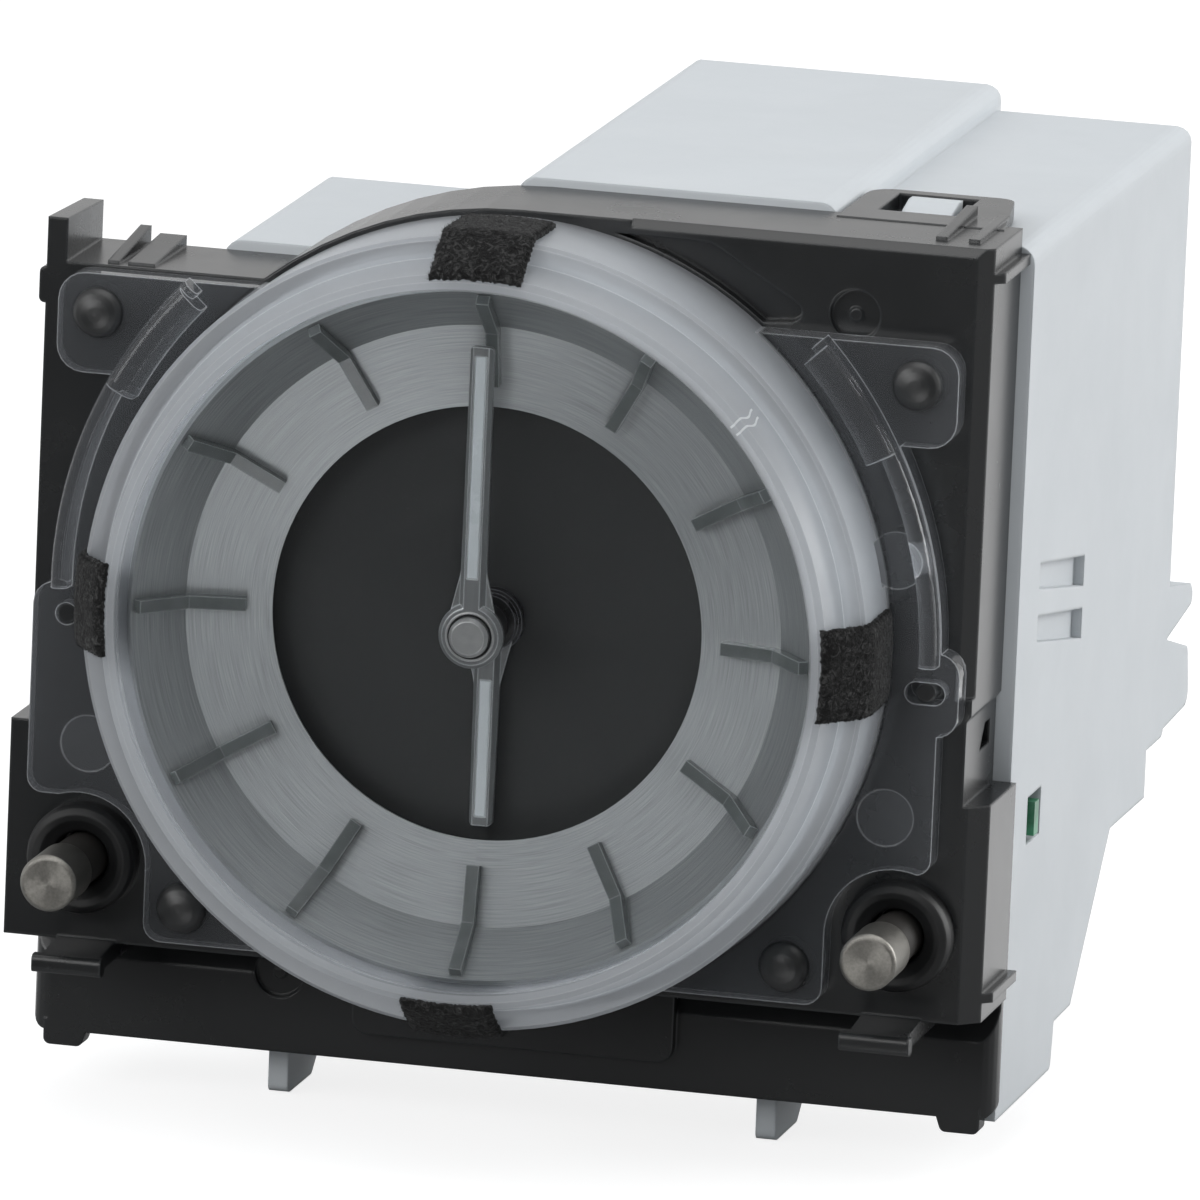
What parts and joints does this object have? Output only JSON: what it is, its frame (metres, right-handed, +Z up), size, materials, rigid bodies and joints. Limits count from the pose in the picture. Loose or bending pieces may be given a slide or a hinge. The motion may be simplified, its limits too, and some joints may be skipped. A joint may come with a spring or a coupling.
{
  "type": "dashboard clock",
  "caption": "Analogue dashboard clock module: round lensed dial with geared hands, two setting buttons and a stepped rear housing with a wiring inlet.",
  "frame": {"origin": "On the dial axis, in the plane of the chapter ring's inner edge", "axes": "+X to the right seen from the front, +Y along the dial axis towards the back, +Z up"},
  "size_m": [0.0878, 0.0988, 0.0843],
  "materials": {
    "black_case": "satin moulded black plastic",
    "white_cover": "satin moulded white plastic",
    "clear_lens": "clear moulded plastic, milky where it is seen edge on",
    "felt": "black adhesive felt",
    "brushed_ring": "turned metal finish",
    "black_disc": "fine matt black",
    "marker": "smoked translucent bar",
    "white_diffuser": "matt white light guide",
    "hand_metal": "satin grey metal",
    "hand_inlay": "pale translucent strip",
    "black_hub": "black plastic",
    "cap_metal": "satin metal",
    "nickel": "worn nickel",
    "plunger_plastic": "dark plastic",
    "boot_rubber": "black rubber",
    "switch_plastic": "black plastic",
    "board_laminate": "green laminate",
    "movement_plastic": "natural plastic",
    "pillar_brass": "turned brass",
    "screw_steel": "zinc plated steel",
    "arbor_steel": "polished steel",
    "wheel_plastic": "natural acetal",
    "rotor_magnet": "moulded magnet with a dark pinion",
    "stator_iron": "soft iron sheet",
    "bobbin_plastic": "green plastic",
    "coil_copper": "enamelled copper wire",
    "socket_plastic": "natural plastic",
    "pin_brass": "gold flashed brass",
    "lamp_plastic": "white lamp body",
    "can_steel": "steel can",
    "chip_plastic": "black moulding",
    "can_aluminium": "aluminium can"
  },
  "bodies": {
    "case": {"front_case": "black_case", "rear_cover": "white_cover", "lens": "clear_lens", "felt_pads": "felt", "chapter_ring": "brushed_ring", "dial_disc": "black_disc", "hour_markers": "marker", "dial_carrier": "white_diffuser", "left_boot": "boot_rubber", "right_boot": "boot_rubber", "left_switch": "switch_plastic", "right_switch": "switch_plastic", "circuit_board": "board_laminate", "movement_front_plate": "movement_plastic", "movement_back_plate": "movement_plastic", "movement_pillars": "pillar_brass", "movement_screws": "screw_steel", "stator": "stator_iron", "coil_bobbin": "bobbin_plastic", "coil_winding": "coil_copper", "board_screws": "screw_steel", "connector_housing": "socket_plastic", "connector_pins": "pin_brass", "dial_lamps": "lamp_plastic", "quartz_crystal": "can_steel", "control_chip": "chip_plastic", "capacitors": "can_aluminium"},
    "minute": {"minute_hand": "hand_metal", "minute_inlay": "hand_inlay", "minute_hub": "black_hub", "hub_cap": "cap_metal", "minute_arbor": "arbor_steel", "centre_wheel": "wheel_plastic"},
    "hour": {"hour_hand": "hand_metal", "hour_inlay": "hand_inlay", "hour_hub": "black_hub", "hour_wheel": "wheel_plastic"},
    "motion": {"motion_wheel": "wheel_plastic"},
    "intermediate": {"intermediate_wheel": "wheel_plastic"},
    "rotor": {"rotor": "rotor_magnet"},
    "left_button": {"left_button_cap": "nickel", "left_plunger": "plunger_plastic"},
    "right_button": {"right_button_cap": "nickel", "right_plunger": "plunger_plastic"}
  },
  "joints": [
    {"name": "minute_spin", "type": "hinge", "parent": "case", "child": "minute", "pos_m": [0, 0.012, 0], "axis": [0, 1, 0], "continuous": true},
    {"name": "hour_spin", "type": "hinge", "parent": "case", "child": "hour", "pos_m": [0, 0.012, 0], "axis": [0, 1, 0], "continuous": true},
    {"name": "motion_spin", "type": "hinge", "parent": "case", "child": "motion", "pos_m": [0.0096, 0.012, 0], "axis": [0, 1, 0], "continuous": true},
    {"name": "intermediate_spin", "type": "hinge", "parent": "case", "child": "intermediate", "pos_m": [0, 0.012, -0.014], "axis": [0, 1, 0], "continuous": true},
    {"name": "rotor_spin", "type": "hinge", "parent": "case", "child": "rotor", "pos_m": [-0.01, 0.012, -0.014], "axis": [0, 1, 0], "continuous": true},
    {"name": "left_press", "type": "slide", "parent": "case", "child": "left_button", "axis": [0, 1, 0], "range_m": [0, 0.001], "stiffness_N_per_m": 1500},
    {"name": "right_press", "type": "slide", "parent": "case", "child": "right_button", "axis": [0, 1, 0], "range_m": [0, 0.001], "stiffness_N_per_m": 1500}
  ],
  "couplings": [
    {"joint": "hour_spin", "follows": "minute_spin", "ratio": 0.083333},
    {"joint": "motion_spin", "follows": "minute_spin", "ratio": -0.33333},
    {"joint": "intermediate_spin", "follows": "minute_spin", "ratio": -6},
    {"joint": "rotor_spin", "follows": "minute_spin", "ratio": 24}
  ]
}
